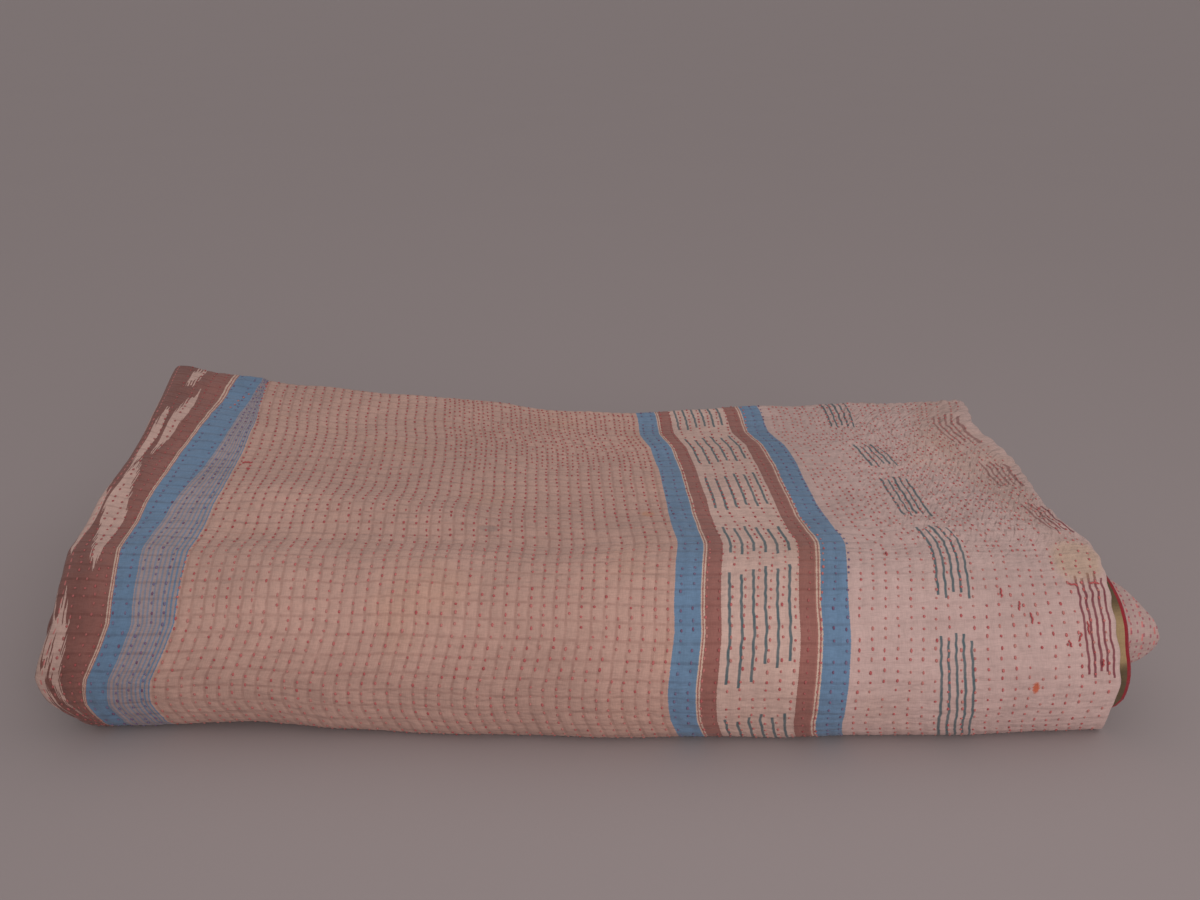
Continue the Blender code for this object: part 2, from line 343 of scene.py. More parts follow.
def fold_runs(sheet):
    """The runs of the ply, from its free end at the top of the back to the one inside."""
    ply = 2 * sheet + SHEET_GAP
    pitch = (HEIGHT - ply) / (PLIES_HIGH - 1)
    top = [HEIGHT - ply / 2 - n * pitch for n in range(3)]
    low = [ply / 2 + n * pitch for n in range(3)]
    back = DEPTH - ply / 2
    tuck = back - 0.009
    turn = pitch / 2
    loft, flat = SIDE_LOFT, SIDE_FLAT
    return (
        Run("free end", "start", DEPTH, top[0], 0, loft, -0.416, 0.382, 0.376),
        Run("top, back", "flat", 0.310, top[0], 22, loft, -0.415, 0.370, 0.368),
        Run("top, middle", "flat", 0.235, top[0], 22, loft, -0.412, 0.370, 0.366),
        Run("top, forward", "flat", 0.160, top[0], 22, loft, -0.408, 0.367, 0.364),
        Run("crest", "flat", CREST, top[0], 22, loft, -0.402, 0.372, 0.370),
        Run("front, upper", "over", low[0], BELLY, 34, loft, -0.411, 0.371, 0.379),
        Run("front, lower", "round", FOOT, low[0], 18, flat, -0.394, 0.374, 0.368),
        Run("underneath", "flat", back - turn, low[0], 24, flat, -0.402, 0.372, 0.368),
        Run("first back fold", "over", back, low[0] + turn, 6, loft, -0.404, 0.371, 0.368),
        Run("first back fold, in", "round", back - turn, low[1], 6, loft, -0.402, 0.370, 0.367),
        Run("second ply, low", "flat", 0.055, low[1], 22, loft, -0.396, 0.366, 0.368),
        Run("second front, lower", "over", low[1], INNER_BELLY, 14, loft, -0.402, 0.402, 0.418),
        Run("second front, upper", "round", 0.085, top[1], 16, loft, -0.398, 0.366, 0.372),
        Run("second ply, high", "flat", tuck - turn, top[1], 20, loft, -0.406, 0.368, 0.372),
        Run("second back fold", "over", tuck, top[1] - turn, 6, loft, -0.407, 0.367, 0.371),
        Run("second back fold, in", "round", tuck - turn, top[2], 6, loft, -0.405, 0.366, 0.370),
        Run("third ply, high", "flat", low[2] + turn, top[2], 18, loft, -0.396, 0.370, 0.366),
        Run("third front, upper", "over", low[2], HEIGHT / 2, 6, loft, -0.394, 0.376, 0.370),
        Run("third front, lower", "round", low[2] + turn, low[2], 6, loft, -0.396, 0.372, 0.366),
        Run("inner end", "flat", back - 0.018, low[2], 20, loft, -0.400, 0.364, 0.360),
    )


def stations(runs):
    """Points along the ply's centre line: y, z, the side fold's loft and the three edges there."""
    rows = [(runs[0].y, runs[0].z, *runs[0][5:])]
    for before, run in zip(runs, runs[1:]):
        start, end = np.array(before[5:]), np.array(run[5:])
        for step in range(1, run.steps + 1):
            t = step / run.steps
            along = across = t
            rising, falling = math.sin(t * math.pi / 2), 1 - math.cos(t * math.pi / 2)
            if run.bend == "over":
                along, across = rising, falling
            elif run.bend == "round":
                along, across = falling, rising
            y = before.y + (run.y - before.y) * along
            z = before.z + (run.z - before.z) * across
            rows.append((y, z, *(start + (end - start) * smooth_step(t))))
    rows = np.array(rows)
    along = path_lengths(rows)
    for column, key in enumerate(("side", "outer", "inner"), 3):
        strays = [getattr(row, key) for row in STRAY]
        rows[:, column] += np.interp(along, [row.along for row in STRAY], strays)
    return rows


def path_lengths(rows):
    """Distance of each station along the cloth, from its free end."""
    steps = np.hypot(*np.diff(rows[:, :2], axis=0).T)
    return np.concatenate([[0.0], np.cumsum(steps)])


def settle(x, y, z, sheet):
    """Moves points of the square-cut bundle to where the soft, uneven one has them."""
    set_back = smooth_curve(x, [row.x for row in FRONT], [row.set_back for row in FRONT])
    lift = smooth_curve(x, [row.x for row in FRONT], [row.lift for row in FRONT])
    rows = np.array([smooth_curve(x, TOP_X, row) for row in TOP_Z])
    depth = np.clip(y, TOP_Y[0], TOP_Y[-1])
    top = np.zeros_like(x)
    for n in range(len(TOP_Y) - 1):
        here = (depth >= TOP_Y[n]) & (depth <= TOP_Y[n + 1])
        t = smooth_step((depth - TOP_Y[n]) / (TOP_Y[n + 1] - TOP_Y[n]))
        top = np.where(here, rows[n] + (rows[n + 1] - rows[n]) * t, top)
    relief = np.zeros_like(x)
    for crease in CREASES:
        run = np.array([crease.x1 - crease.x0, crease.y1 - crease.y0])
        t = np.clip(((x - crease.x0) * run[0] + (y - crease.y0) * run[1]) / (run @ run), 0, 1)
        off = np.hypot(x - crease.x0 - t * run[0], y - crease.y0 - t * run[1])
        relief += crease.height * np.exp(-((off / crease.width) ** 2))
    upper = smooth_step((z - 0.05) / (HEIGHT - 0.05))
    foot = lift * smooth_step(1 - y / 0.055) * (1 - smooth_step(z / HEIGHT))
    base = sheet / 2
    height = base + (z - base) * (top - base) / (HEIGHT - base)
    return np.stack([x, y + set_back, height + relief * upper + foot], axis=-1)


def stitch_wander(across, along):
    """How far a hand-sewn row strays from the weave."""
    fade = smooth_step(across / 0.05) * smooth_step((OUTER_WIDTH - across) / 0.03)
    sway = np.sin(along * 21 + across * 9) + 0.6 * np.sin(along * 43 - across * 17 + 1.3)
    return 0.0016 * fade * sway


def laid_shares(across, along):
    """Share of the bundle's width at which each place across the cloth lies, along its length."""
    out = np.empty(across.shape)
    lines = np.array([smooth_curve(along, LAID_ALONG, line.shares) for line in LAID])
    even = np.array([line.across / OUTER_WIDTH for line in LAID])
    back_to_even = smooth_step((along - ASKEW_TO) / ASKEW_EASE)
    places = [0.0, *(line.across for line in LAID), OUTER_WIDTH]
    for n, row in enumerate(across):
        shares = lines[:, n] + (even - lines[:, n]) * back_to_even[n]
        out[n] = np.interp(row, places, [0.0, *shares, 1.0])
    return out


def pucker(across, along, depth):
    """Height of the cloth between and along its stitch rows."""
    row = np.cos(2 * np.pi * across / (OUTER_WIDTH / OUTER_COLUMNS * ROW_COLUMNS))
    uneven = 0.75 + 0.25 * np.sin(along * 190 + 5 * np.sin(across * 61)) * np.sin(across * 150)
    ripple = np.sin(along * 310 + 4 * np.sin(across * 47) + 2 * np.sin(along * 23))
    patch = 0.8 + 0.2 * np.sin(along * 33 + across * 11) * np.sin(across * 27 - along * 14)
    tight = smooth_step((across - 0.60) / 0.08) * smooth_step((0.33 - along) / 0.06)
    knots = np.sin(along * 260 + 6 * np.sin(across * 90)) * np.sin(across * 340 + along * 120)
    return depth * (patch * (-0.5 * row * uneven + 0.30 * ripple) * (1 + 0.9 * tight)
                    + 0.9 * tight * knots)


def swell(across, along):
    """Slow rise and fall of the whole sheet."""
    return 0.0011 * (
        np.sin(along * 52 + across * 19 + 0.7) * np.sin(across * 31 - along * 9)
        + 0.6 * np.sin(across * 73 + along * 24) * np.sin(along * 64 - 1.1)
    )


class FoldedCloth:
    """The cloth's outer and inner faces, as points on a grid of rows along and columns across."""

    def __init__(self, sizes):
        sheet = sizes.sheet
        rows = stations(fold_runs(sheet))
        tangent = np.gradient(rows[:, :2], axis=0)
        tangent /= np.linalg.norm(tangent, axis=1)[:, None]
        self.along = path_lengths(rows)
        self.rows, self.tangent, self.sheet = rows, tangent, sheet
        along, loft = self.along[:, None], rows[:, 2, None]
        nominal = np.linspace(OUTER_WIDTH, 0.0, OUTER_COLUMNS + 1) * np.ones((len(rows), 1))
        outer = nominal - stitch_wander(nominal, along)
        self.turn = np.linspace(0, np.pi, TURN_COLUMNS + 1)[1:]
        inner = np.linspace(0, 1, INNER_COLUMNS)[1:]
        self.inner = np.insert(inner, -1, 1 - EDGING / INNER_WIDTH)
        inner_width = (rows[:, 5] - rows[:, 3])[:, None]
        self.across = np.hstack([
            outer, -loft * self.turn, -loft * np.pi - inner_width * self.inner])
        self.shares = laid_shares(outer, self.along)
        full = smooth_step(nominal / 0.02) * (1 - smooth_step((along - DRAWN_TO) / DRAWN_EASE))
        slow, drawn = np.zeros_like(self.across), np.zeros_like(self.across)
        slow[:, : OUTER_COLUMNS + 1] = swell(outer, along) * full
        drawn[:, : OUTER_COLUMNS + 1] = pucker(nominal, along, sizes.pucker) * full
        self.face = self.points(sheet / 2 + drawn, slow)
        self.lining = self.points(-sheet / 2, slow)
        self.edge = self.points(0.0, slow, HEM_ROUND)
        shift = self.shift()
        for grid in (self.face, self.lining, self.edge):
            grid += shift
        self.facing = self.normals()

    def points(self, offset, slow, rim=0.0):
        """The sheet's points at an offset from its mid-line, pushed out at the rim."""
        loft, side, hem_outer, hem_inner = (self.rows[:, n, None] for n in range(2, 6))
        offset = offset + np.zeros_like(self.across)
        edges = (OUTER_COLUMNS + 1, OUTER_COLUMNS + TURN_COLUMNS + 1)
        out_off, turn_off, in_off = np.split(offset + slow, edges, axis=1)
        centre = side + loft + self.sheet / 2
        flat = (self.sheet + SHEET_GAP) / 2

        def spread(x):
            return flat + (loft - flat) * (1 - smooth_step((x - centre) / FOLD_EASE))

        outer_x = centre + self.shares * (hem_outer - centre)
        hem = smooth_step((self.shares - 0.95) / 0.05)
        along = self.along[:, None]
        outer_x += 0.0007 * hem * np.sin(along * 290 + 2 * np.sin(along * 37))
        inner_x = centre + self.inner * (hem_inner - centre)
        x = np.hstack([outer_x, centre - (loft + turn_off) * np.sin(self.turn), inner_x])
        e = np.hstack([
            spread(outer_x) + out_off, (loft + turn_off) * np.cos(self.turn),
            -spread(inner_x) - in_off,
        ])
        y, z = self.rows[:, 0, None] + 0 * x, self.rows[:, 1, None] + 0 * x
        ty, tz = self.tangent[:, :1], self.tangent[:, 1:]
        x[:, 0] += rim
        x[:, -1] += rim
        y, z = y + e * tz, z - e * ty
        for row, way in ((0, -rim), (-1, rim)):
            y[row] += way * self.tangent[row, 0]
            z[row] += way * self.tangent[row, 1]
        return settle(x, y, z, self.sheet)

    def shift(self):
        """From where the bundle is worked out to where the CAD solid stands."""
        low, high = (np.array(corner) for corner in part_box("quilt"))
        points = np.concatenate([grid.reshape(-1, 3) for grid in (self.lining, self.face)])
        own_low, own_high = points.min(axis=0), points.max(axis=0)
        middle = (low + high) / 2 - (own_low + own_high) / 2
        return np.array([middle[0], middle[1], low[2] - own_low[2]])

    def normals(self):
        """Which way the printed face looks, at each of its points."""
        lengthwise = np.gradient(self.face, axis=0)
        crosswise = np.gradient(self.face, axis=1)
        facing = np.cross(lengthwise, crosswise)
        facing /= np.linalg.norm(facing, axis=2)[..., None] + 1e-12
        return facing if facing[10, 100, 2] > 0 else -facing

    def on_face(self, across, along):
        """A point of the printed face and the way it looks, from cloth measures."""
        row = np.interp(along, self.along, np.arange(len(self.along)))
        low = min(int(row), len(self.along) - 2)
        share = row - low
        found = []
        for n in (low, low + 1):
            line = self.across[n, : OUTER_COLUMNS + 1]
            column = np.interp(-across, -line, np.arange(len(line)))
            left = min(int(column), OUTER_COLUMNS - 1)
            t = column - left
            found.append([grid[n, left] * (1 - t) + grid[n, left + 1] * t
                          for grid in (self.face, self.facing)])
        return [a * (1 - share) + b * share for a, b in zip(*found)]


def join_lines(left, left_at, right, right_at):
    """Faces between two lines of points side by side, which need not have the same count."""
    faces, i, j = [], 0, 0
    while i < len(left) - 1 or j < len(right) - 1:
        next_left = left_at[i + 1] if i < len(left) - 1 else math.inf
        next_right = right_at[j + 1] if j < len(right) - 1 else math.inf
        if next_left == next_right and left_at[i] == right_at[j]:
            faces.append((left[i], left[i + 1], right[j + 1], right[j]))
            i, j = i + 1, j + 1
        elif next_left <= next_right:
            faces.append((left[i], left[i + 1], right[j]))
            i += 1
        else:
            faces.append((left[i], right[j + 1], right[j]))
            j += 1
    return faces


def join_grid(ids):
    return [
        (ids[i, j], ids[i, j + 1], ids[i + 1, j + 1], ids[i + 1, j])
        for i in range(ids.shape[0] - 1)
        for j in range(ids.shape[1] - 1)
    ]


def cloth_faces(rows, columns, edged_rows):
    """The closed sheet's faces by number, fine on the part that shows, and each face's finish.

    The inner sheet's hem is red on the first edged_rows rows.
    """
    count = rows * columns
    face, lining, edge = (np.arange(count).reshape(rows, columns) + n * count for n in range(3))
    turned = OUTER_COLUMNS + TURN_COLUMNS
    coarse = [*range(0, OUTER_COLUMNS, COARSE_COLUMNS), *range(OUTER_COLUMNS, columns)]
    half, fine = [*range(0, FINE_ROWS + 1, 2)], [*range(FINE_ROWS + 1)]
    beyond, every = [*range(FINE_ROWS + 1, rows)], [*range(columns)]
    long, short = fine + beyond, half + beyond

    printed = join_grid(face[: FINE_ROWS + 1, : turned + 1])
    printed += join_grid(face[np.ix_(half, every[turned + 1:])])
    printed += join_lines(face[fine, turned], fine, face[half, turned + 1], half)
    printed += join_grid(face[np.ix_(beyond, coarse)])
    printed += join_lines(face[FINE_ROWS, every], every, face[beyond[0], coarse], coarse)
    inside = join_grid(lining[np.ix_(short, coarse)])
    hem = join_lines(face[long, 0], long, edge[long, 0], long)
    hem += join_lines(edge[long, 0], long, lining[short, 0], short)
    for row, across in ((0, every), (rows - 1, coarse)):
        hem += join_lines(face[row, across], across, edge[row, across], across)
        hem += join_lines(edge[row, across], across, lining[row, coarse], coarse)
    edging = join_lines(face[short, -1], short, edge[short, -1], short)
    edging += join_lines(edge[short, -1], short, lining[short, -1], short)
    parts = (printed, inside, hem, edging)
    finish = np.concatenate([np.full(len(part), n) for part, n in zip(parts, (0, 1, 0, 0))])
    red = {int(n) for grid in (lining, edge) for n in grid[:edged_rows, -1]}
    inner_edge = {int(n) for grid in (lining, edge) for n in grid[:edged_rows, -2]} | red
    faces = [tuple(int(n) for n in f) for part in parts for f in part]
    for n, f in enumerate(faces):
        if red.intersection(f) and inner_edge.issuperset(f):
            finish[n] = 2
    return faces, finish


def link(name, mesh):
    made = bpy.data.objects.new(name, mesh)
    bpy.context.collection.objects.link(made)
    return made


def finish_piece(piece):
    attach(piece, "root")
    return piece


# ---- Nodes ----


class Value:
    """What a node puts out. Sums with it make maths nodes."""

    def __init__(self, tree, socket):
        self.tree, self.socket = tree, socket

    def maths(self, operation, *others):
        return maths(self.tree, operation, self, *others)

    def __add__(self, other):
        return self.maths("ADD", other)

    def __sub__(self, other):
        return self.maths("SUBTRACT", other)

    def __rsub__(self, other):
        return maths(self.tree, "SUBTRACT", other, self)

    def __mul__(self, other):
        return self.maths("MULTIPLY", other)

    def __truediv__(self, other):
        return self.maths("DIVIDE", other)

    def __gt__(self, other):
        return self.maths("GREATER_THAN", other)

    def __lt__(self, other):
        return self.maths("LESS_THAN", other)

    def __abs__(self):
        return self.maths("ABSOLUTE")


def feed(tree, socket, value):
    """Links a socket to a value, or sets it to a constant."""
    if isinstance(value, Value):
        value = value.socket
    if isinstance(value, bpy.types.NodeSocket):
        tree.links.new(value, socket)
    else:
        socket.default_value = value


def add_node(tree, kind, inputs=(), output=0, **settings):
    """What a new node puts out, with its inputs fed by name or number."""
    made = tree.nodes.new(kind)
    for name, value in settings.items():
        setattr(made, name, value)
    for socket, value in inputs.items() if isinstance(inputs, dict) else enumerate(inputs):
        feed(tree, made.inputs[socket], value)
    return Value(tree, made.outputs[output])


def maths(tree, operation, *values):
    return add_node(tree, "ShaderNodeMath", values, operation=operation)


def mix(tree, share, first, second, blend="MIX"):
    return add_node(tree, "ShaderNodeMix", {0: share, 6: first, 7: second}, 2,
                    data_type="RGBA", blend_type=blend)


def toned(tree, color, value):
    """A colour made lighter or darker by a value."""
    grey = add_node(tree, "ShaderNodeCombineColor", (value, value, value))
    return mix(tree, 1.0, color, grey, "MULTIPLY")


def ease(value, start, end, low=0.0, high=1.0):
    """A value eased from low at start to high at end."""
    return add_node(value.tree, "ShaderNodeMapRange", (value, start, end, low, high),
                    interpolation_type="SMOOTHSTEP")


def between(value, start, end):
    """1 from start to end, and 0 elsewhere."""
    return value.maths("COMPARE", (start + end) / 2, (end - start) / 2)


def greatest(values):
    return reduce(lambda one, other: one.maths("MAXIMUM", other), values)


def split(vector):
    """The first two parts of a vector."""
    made = vector.tree.nodes.new("ShaderNodeSeparateXYZ")
    feed(vector.tree, made.inputs[0], vector)
    return [Value(vector.tree, out) for out in made.outputs[:2]]


def noise(vector, scale, detail=2.0, dimensions="3D", roughness=0.5):
    place = "W" if dimensions == "1D" else "Vector"
    return add_node(vector.tree, "ShaderNodeTexNoise", {
        place: vector, "Scale": scale, "Detail": detail, "Roughness": roughness,
    }, noise_dimensions=dimensions)


def streaks(cloth, across, along, detail=1.0, roughness=0.5):
    """Noise with its own scale across and along the cloth."""
    stretched = add_node(cloth.tree, "ShaderNodeVectorMath", (cloth, (across, along, 1.0)),
                         operation="MULTIPLY")
    return noise(stretched, 1.0, detail, "2D", roughness)


def own_draw(number):
    """A random value of each number's own."""
    return add_node(number.tree, "ShaderNodeTexWhiteNoise", {"W": number}, "Value",
                    noise_dimensions="1D")


def color_steps(value, stops, interpolation):
    """Colours along a value. Each stop is a place from 0 to 1 and a colour."""
    ramp = value.tree.nodes.new("ShaderNodeValToRGB")
    feed(value.tree, ramp.inputs[0], value)
    ramp.color_ramp.interpolation = interpolation
    elements = ramp.color_ramp.elements
    elements.remove(elements[-1])
    for n, (place, color) in enumerate(stops):
        element = elements[0] if n == 0 else elements.new(place)
        element.position, element.color = place, (*color, 1.0)
    return Value(value.tree, ramp.outputs[0])


# ---- Shared effects ----


def new_group(name, inputs, outputs):
    """An empty shader group's tree and what it is given.

    inputs has each socket's default: a number, a colour, or None for a place.
    """
    tree = bpy.data.node_groups.new(name, "ShaderNodeTree")
    for label, default in inputs.items():
        kind = "Vector" if default is None else "Color" if label == "Color" else "Float"
        socket = tree.interface.new_socket(label, in_out="INPUT", socket_type="NodeSocket" + kind)
        if default is not None:
            socket.default_value = default
    for label in outputs:
        kind = "Color" if label == "Color" else "Float"
        tree.interface.new_socket(label, in_out="OUTPUT", socket_type="NodeSocket" + kind)
    given = tree.nodes.new("NodeGroupInput").outputs
    return tree, [Value(tree, given[label]) for label in inputs]


def put_out(tree, **results):
    out = tree.nodes.new("NodeGroupOutput").inputs
    for name, value in results.items():
        feed(tree, out[name], value)


def place_group(tree, group, **inputs):
    """What a shared effect puts out, by name."""
    made = tree.nodes.new("ShaderNodeGroup")
    made.node_tree = bpy.data.node_groups[group]
    for name, value in inputs.items():
        feed(tree, made.inputs[name.replace("_", " ")], value)
    return {out.name: Value(tree, out) for out in made.outputs}


def make_line_group():
    """Woven lines: 1 on lines that repeat at a pitch, easing to 0 beside them."""
    tree, (place, pitch, width, softness) = new_group(
        "Woven lines", {"Place": 0.0, "Pitch": 0.01, "Width": 0.001, "Softness": 0.0003},
        ("Mask", "Number"))
    turns = place / pitch
    number = turns.maths("ROUND")
    off = abs(turns - number) * pitch
    half = width * 0.5
    put_out(tree, Mask=ease(off, half, half + softness, 1.0, 0.0), Number=number)


def make_stitch_group():
    """Running stitches seen flat, for cloth whose thread isn't modelled."""
    tree, (across, along, row_pitch, pitch, length, width) = new_group(
        "Stitch marks", {"Across": 0.0, "Along": 0.0, "Row Pitch": 0.0092, "Stitch Pitch": 0.0068,
                         "Length": 0.003, "Width": 0.001}, ("Mask",))
    lines = place_group(tree, "Woven lines", Place=across, Pitch=row_pitch, Width=width)
    shifted = along + own_draw(lines["Number"]) * pitch
    marks = place_group(tree, "Woven lines", Place=shifted, Pitch=pitch, Width=length,
                        Softness=0.0005)
    put_out(tree, Mask=lines["Mask"] * marks["Mask"])


def make_weave_group():
    """Plain weave: a fine height, and a value that lightens and darkens the yarns."""
    tree, (cloth, yarn) = new_group(
        "Plain weave", {"Cloth": None, "Yarn": 0.0007}, ("Height", "Value"))
    warp, weft = ((part / yarn * (2 * math.pi)).maths("SINE") for part in split(cloth))
    slub = streaks(cloth, 1400.0, 160.0) + streaks(cloth, 160.0, 1400.0)
    put_out(tree, Height=(warp + weft) * 0.25 + slub, Value=ease(slub, 0.7, 1.3, 0.93, 1.06))


def make_draw_group():
    """Draw of the stitches: short crosswise ripples and hollows where the thread dips."""
    tree, (cloth, row_pitch) = new_group(
        "Drawn cloth", {"Cloth": None, "Row Pitch": 0.0092}, ("Height",))
    valley = (split(cloth)[0] / row_pitch * (2 * math.pi)).maths("COSINE")
    puff = streaks(cloth, 75.0, 150.0, 2.0, 0.55)
    ripple = streaks(cloth, 28.0, 210.0, 1.0, 0.4)
    put_out(tree, Height=ripple * 0.7 + (valley * -0.10 + puff))


def make_wear_group():
    """Washed-out and slightly soiled patches, from the place on the quilt."""
    tree, (place, color, strength) = new_group(
        "Washed cotton", {"Place": None, "Color": (0.5, 0.5, 0.5, 1.0), "Strength": 1.0},
        ("Color",))
    broad = ease(noise(place, 7.0, 3.0), 0.3, 0.7, 0.90, 1.06)
    small = ease(noise(place, 60.0), 0.3, 0.7, 0.955, 1.035)
    worn = toned(tree, color, (broad * small).maths("POWER", strength))
    soiled = ease(noise(place, 11.0), 0.52, 0.75, 0.0, 0.35)
    put_out(tree, Color=mix(tree, soiled, worn, (0.96, 0.90, 0.76, 1.0), "MULTIPLY"))


# ---- Materials ----


def new_material(name):
    material = bpy.data.materials.new(name)
    material.use_nodes = True
    return material, material.node_tree


def add_shader(tree, color, normal, roughness=0.92, sheen=0.15):
    """Soft, matt cotton."""
    shader = tree.nodes["Principled BSDF"]
    for name, value in (
        ("Base Color", color), ("Normal", normal), ("Roughness", roughness),
        ("Specular IOR Level", 0.25), ("Sheen Weight", sheen), ("Sheen Roughness", 0.6),
        ("Sheen Tint", (1.0, 0.85, 0.82, 1.0)),
    ):
        feed(tree, shader.inputs[name], value)


def bump(tree, height, distance, strength):
    return add_node(tree, "ShaderNodeBump",
                    {"Height": height, "Distance": distance, "Strength": strength})


def finish_cotton(tree, cloth, color, strength=1.0, gathers=None):
    """Gives woven cotton its relief, its yarns, its wear and its shader."""
    yarn = place_group(tree, "Plain weave", Cloth=cloth)
    drawn = place_group(tree, "Drawn cloth", Cloth=cloth)
    height = drawn["Height"] * DRAW_HEIGHT + yarn["Height"] * WEAVE_HEIGHT
    if gathers is not None:
        height = height + gathers
    place = add_node(tree, "ShaderNodeTexCoord", output="Object")
    color = place_group(tree, "Washed cotton", Place=place,
                        Color=toned(tree, color, yarn["Value"]), Strength=strength)["Color"]
    add_shader(tree, color, bump(tree, height, 1.0, 1.0))


def band_steps(colors):
    """Colours across the whole cloth, from the inner hem past the side fold to the outer hem."""
    field, plain, panel = tuple(colors.field), tuple(colors.plain), tuple(colors.panel)
    blue, brown, cream = tuple(colors.blue), tuple(colors.brown), tuple(colors.cream)
    pale = tuple(0.64 * a + 0.13 * b for a, b in zip(plain, blue))
    dusk = tuple(value * 0.66 for value in brown)
    # painted shade: the pale pink at 0.8 of its brightness on the inner sheet's part toward its
    # hem, the fold tucked in under the front
    shaded_plain = tuple(value * 0.80 for value in plain)
    line = tuple(value * 1.2 for value in brown)
    return (
        (-0.850, shaded_plain), (-0.560, blue), (-0.541, brown), (-0.522, panel), (-0.470, brown),
        (-0.455, blue), (-0.436, field), (-0.110, pale), (-0.075, blue), (-0.060, cream),
        (-0.056, dusk), (0.0392, cream), (0.0404, line), (0.0414, cream), (0.0422, line),
        (0.0429, blue), (0.0580, pale), (0.0896, field), (0.4555, blue), (0.4745, cream),
        (0.4754, line), (0.4764, cream), (0.4775, brown), (0.4890, panel), (0.5445, brown),
        (0.5560, line), (0.5570, cream), (0.5582, line), (0.5594, cream), (0.5605, blue),
        (0.5800, plain),
    )


def print_place(tree):
    """Where a point lies on the cloth, and how the weave strays and wears there."""
    cloth = add_node(tree, "ShaderNodeUVMap", uv_map=CLOTH_MAP)
    across, along = split(cloth)
    ragged = noise(cloth, 900.0, 1.0, "2D") - 0.5
    drift = noise(cloth, 25.0, 1.0, "2D") - 0.5
    waver = noise(across * 0.35 + along, 130.0, 1.0, "1D") - 0.5
    return PrintPlace(
        tree, cloth, across, along, ragged,
        edge=drift * 0.0012 + (ragged * 0.0009 + across),
        strayed=waver * 0.0013 + (drift * 0.0010 + across),
        worn=ease(noise(cloth, 90.0, 2.0, "2D"), 0.3, 0.7, 0.55, 1.0))


def weave_bands(at, colors):
    """The bands across the cloth, with fine stripes beside the left blue one."""
    steps = band_steps(colors)
    color = (*steps[0][1], 1.0)
    for start, band in steps[1:]:
        color = mix(at.tree, at.edge > start, color, (*band, 1.0))
    fine = place_group(at.tree, "Woven lines", Place=at.edge, Pitch=0.0033, Width=0.0008,
                       Softness=0.0006)["Mask"]
    deeper = ease(at.edge, 0.074, 0.086, 0.62, 0.95)
    fine = fine * between(at.edge, 0.058, 0.0896) * deeper
    return mix(at.tree, fine, color, (*colors.blue, 1.0))


def dye_flames(at, color, colors):
    """Warped-resist flames round the side fold: each yarn slips along by its own amount."""
    yarn = (at.across * 1100.0).maths("ROUND")
    slipped = own_draw(yarn) * 0.022 + at.along.maths("FLOORED_MODULO", 0.47)
    slipped = noise(at.across, 160.0, 1.0, "1D") * 0.036 + slipped
    shapes = []
    for flame in FLAMES:
        long = flame.end - flame.start
        turn = slipped * (1 / long) - (flame.start + 0.029) / long
        middle = turn * flame.lean + (flame.across - flame.lean / 2)
        shapes.append(abs(at.edge - middle) < turn * (1.0 - turn) * (4 * flame.half))
    near_cream = between(at.edge, -0.056, 0.0392) * ease(at.across, 0.008, 0.036, 0.0, 0.62)
    color = mix(at.tree, near_cream, color, (*colors.brown, 1.0))
    return mix(at.tree, greatest(shapes) * 0.88, color, (*colors.panel, 1.0))


def weave_checks(at, color, sizes):
    """Darker yarns, along the cloth on the field and across it nearly everywhere."""
    warp = place_group(at.tree, "Woven lines", Place=at.strayed, Pitch=sizes.warp_pitch,
                       Width=0.0008, Softness=0.0013)["Mask"]
    bowed = noise(at.cloth, 9.0, 1.0, "2D") * 0.007 + at.along
    weft = place_group(at.tree, "Woven lines", Place=bowed, Pitch=sizes.weft_pitch,
                       Width=0.0007, Softness=0.0012)["Mask"]
    fainter = between(at.across, 0.4895, 0.5445) * -0.35 + ((at.across > 0.58) * -0.50 + 0.80)
    fainter = fainter * (at.across > -0.70)
    field = between(at.across, 0.0896, 0.4545)
    lines = greatest([warp * field * at.worn, weft * at.worn * fainter])
    return mix(at.tree, lines * 0.72, color, (0.70, 0.62, 0.62, 1.0), "MULTIPLY")


def work_dashes(at, color, colors):
    """Dashes worked along the cloth."""
    for dashes in DASHES:
        last = dashes.first + dashes.pitch * (dashes.count - 1)
        lines = place_group(at.tree, "Woven lines", Place=at.strayed - dashes.first,
                            Pitch=dashes.pitch, Width=dashes.width, Softness=0.0008)
        within = between(at.across, dashes.first - dashes.pitch / 2, last + dashes.pitch / 2)
        ends = own_draw(lines["Number"]) * 0.006 + at.along
        shown = greatest([between(ends, *span) for span in dashes.spans])
        mask = lines["Mask"] * within * shown * (at.worn * 0.22 + 0.78)
        color = mix(at.tree, mask, color, (*getattr(colors, dashes.color), 1.0))
    return color


def mark_stitches(at, color, colors):
    """Stitches where the thread isn't modelled: inner sheet, underside and folds inside."""
    modelled = (at.across > 0.0) * (at.along < SEWN_TO)
    marks = place_group(at.tree, "Stitch marks", Across=at.strayed, Along=at.along)["Mask"]
    color = mix(at.tree, marks * (1.0 - modelled) * 0.8, color, (*colors.thread, 1.0))
    close = place_group(at.tree, "Stitch marks", Across=at.strayed, Along=at.along,
                        Row_Pitch=0.0050, Stitch_Pitch=0.0046, Length=0.0012)["Mask"]
    close = close * (at.across < -0.62)
    return mix(at.tree, close * 0.75, color, (0.36, 0.075, 0.11, 1.0))


def add_stains(at, color):
    """Ragged spots and stains."""
    for stain in STAINS:
        dx = (at.across - stain.across) * (1 / stain.wide)
        dy = (at.along - stain.along) * (1 / stain.long)
        far = at.ragged * 0.9 + (dx * dx + dy * dy).maths("SQRT")
        mask = ease(far, 0.9, 1.6, 1.0, 0.0)
        color = mix(at.tree, mask * stain.depth, color, (*stain.color, 1.0))
    return color


